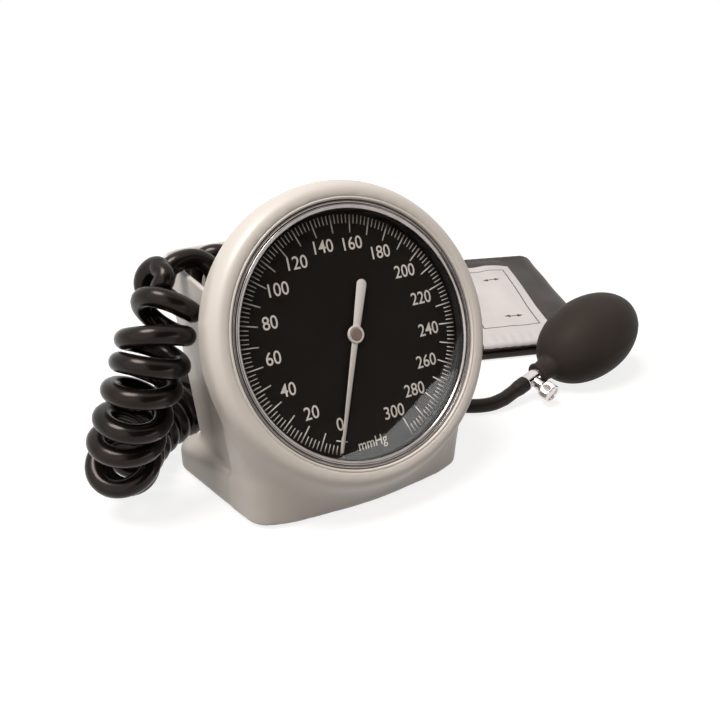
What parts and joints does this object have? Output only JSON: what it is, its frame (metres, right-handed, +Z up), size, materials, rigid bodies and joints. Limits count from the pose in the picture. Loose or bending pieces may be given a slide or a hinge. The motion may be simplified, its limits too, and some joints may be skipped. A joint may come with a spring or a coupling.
{
  "type": "desk aneroid sphygmomanometer",
  "caption": "Desk blood pressure gauge with a tilted round dial and pointer, rear basket, curly air tube, folded arm cuff, hose and rubber hand bulb with a release valve.",
  "frame": {"origin": "middle of the front rubber strip where it stands on the table, straight below the middle of the dial", "axes": "+Z up, +X to the right seen from the front, -Y towards the viewer the dial faces"},
  "size_m": [0.4073, 0.2923, 0.1593],
  "materials": {
    "housing": "satin",
    "feet": "matte",
    "screws": "bright",
    "case": "matte",
    "ring": "polished",
    "lens": "clear",
    "dial": "matte",
    "pointer": "satin",
    "cap": "satin",
    "works": "satin",
    "steel": "satin",
    "capsule": "satin",
    "fittings": "polished",
    "valve": "polished",
    "thumb_screw": "knurled",
    "seal": "matte",
    "coil": "glossy",
    "hose": "matte",
    "bulb": "matte",
    "cuff": "woven",
    "bladder": "matte",
    "label": "smooth"
  },
  "bodies": {
    "stand": {"front_housing": "housing", "rear_basket": "housing", "base_plate": "housing", "rubber_feet": "feet", "housing_screws": "screws", "gauge_case": "case", "case_screws": "screws", "bezel_ring": "ring", "lens": "lens", "spacer_ring": "case", "dial_plate": "dial", "hairspring": "steel", "front_plate": "works", "back_plate": "works", "plate_pillars": "works", "movement_legs": "screws", "movement_screws": "screws", "capsule": "capsule", "pressure_inlet": "fittings", "curly_tube": "coil", "tube_sleeves": "coil", "connector_male": "fittings", "connector_female": "fittings", "cuff_tube": "hose", "cuff_sleeve": "cuff", "cuff_bladder": "bladder", "cuff_label": "label", "bulb_hose": "hose", "hose_end": "hose", "valve_body": "valve", "bulb": "bulb", "inlet_valve": "fittings"},
    "pointer": {"pointer": "pointer", "pointer_cap": "cap", "pinion_staff": "works"},
    "sector": {"sector_gear": "works", "sector_arbor": "steel"},
    "rocker": {"rocker": "steel"},
    "stud": {"capsule_stud": "works"},
    "seal": {"valve_seal": "seal"},
    "thumb_screw": {"valve_knob": "thumb_screw"},
    "inlet_ball": {"inlet_ball": "fittings"}
  },
  "joints": [
    {"name": "stud_rise", "type": "slide", "parent": "stand", "child": "stud", "axis": [0, -0.9171, 0.3987], "range_m": [0, 0.00111]},
    {"name": "sector_turn", "type": "hinge", "parent": "stand", "child": "sector", "pos_m": [0, -0.00778, 0.0701], "axis": [0, -0.9171, 0.3987], "range_deg": [0, 26.6], "stiffness_Nm_per_rad": 0.0004, "springref_deg": -11.46},
    {"name": "pointer_turn", "type": "hinge", "parent": "stand", "child": "pointer", "pos_m": [0, 0, 0.088], "axis": [0, 0.9171, -0.3987], "range_deg": [0, 319.2]},
    {"name": "rocker_turn", "type": "hinge", "parent": "stand", "child": "rocker", "pos_m": [-0.00092, 0.01467, 0.08162], "axis": [0, 0.3987, 0.9171], "range_deg": [0, 15.96]},
    {"name": "seal_slide", "type": "slide", "parent": "stand", "child": "seal", "axis": [0.1719, -0.9532, -0.2488], "range_m": [0, 0.00075]},
    {"name": "knob_turn", "type": "hinge", "parent": "seal", "child": "thumb_screw", "pos_m": [0.14932, 0.02927, 0.01309], "axis": [0.1719, -0.9532, -0.2488], "range_deg": [0, 541]},
    {"name": "ball_slide", "type": "slide", "parent": "stand", "child": "inlet_ball", "axis": [-0.956, -0.1005, -0.2756], "range_m": [0, 0.0025]}
  ],
  "couplings": [
    {"joint": "sector_turn", "follows": "stud_rise", "rad_per_m": 418.01},
    {"joint": "pointer_turn", "follows": "stud_rise", "rad_per_m": 5016.2},
    {"joint": "rocker_turn", "follows": "stud_rise", "rad_per_m": 250.81},
    {"joint": "knob_turn", "follows": "seal_slide", "rad_per_m": 12566}
  ]
}
